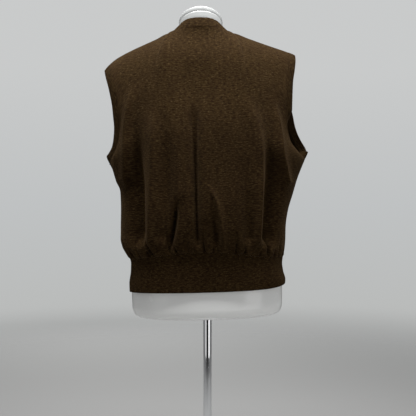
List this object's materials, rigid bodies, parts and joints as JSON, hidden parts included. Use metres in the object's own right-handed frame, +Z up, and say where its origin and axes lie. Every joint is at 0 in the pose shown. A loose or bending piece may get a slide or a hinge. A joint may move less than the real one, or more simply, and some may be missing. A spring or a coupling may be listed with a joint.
{
  "type": "knitted sweater vest on a limbless dress form",
  "caption": "V-necked fine-knit wool sweater vest with ribbed bands, worn by a smooth limbless dress form on a chrome pole and a round steel base.",
  "frame": {"origin": "on the floor, in the middle of the round base's underside", "axes": "+Z up along the pole; the vest's front faces -Y and its back +Y; the wearer's left is +X"},
  "size_m": [0.4662, 0.34, 1.18],
  "materials": {
    "panel_wool": "fine heather wool jersey in dark brown, matt with a short nap and a faint sheen",
    "rib_wool": "fine one-by-one wool rib in dark brown, matt",
    "form_gloss": "smooth glossy pale grey lacquer",
    "pole_chrome": "polished",
    "base_steel": "brushed in rings"
  },
  "bodies": {
    "root": {"back_panel": "panel_wool", "front_panel": "panel_wool", "hem_band_back": "rib_wool", "hem_band_front": "rib_wool", "neckband": "rib_wool", "armhole_band_left": "rib_wool", "armhole_band_right": "rib_wool", "dress_form": "form_gloss", "pole": "pole_chrome", "base": "base_steel"}
  },
  "joints": []
}
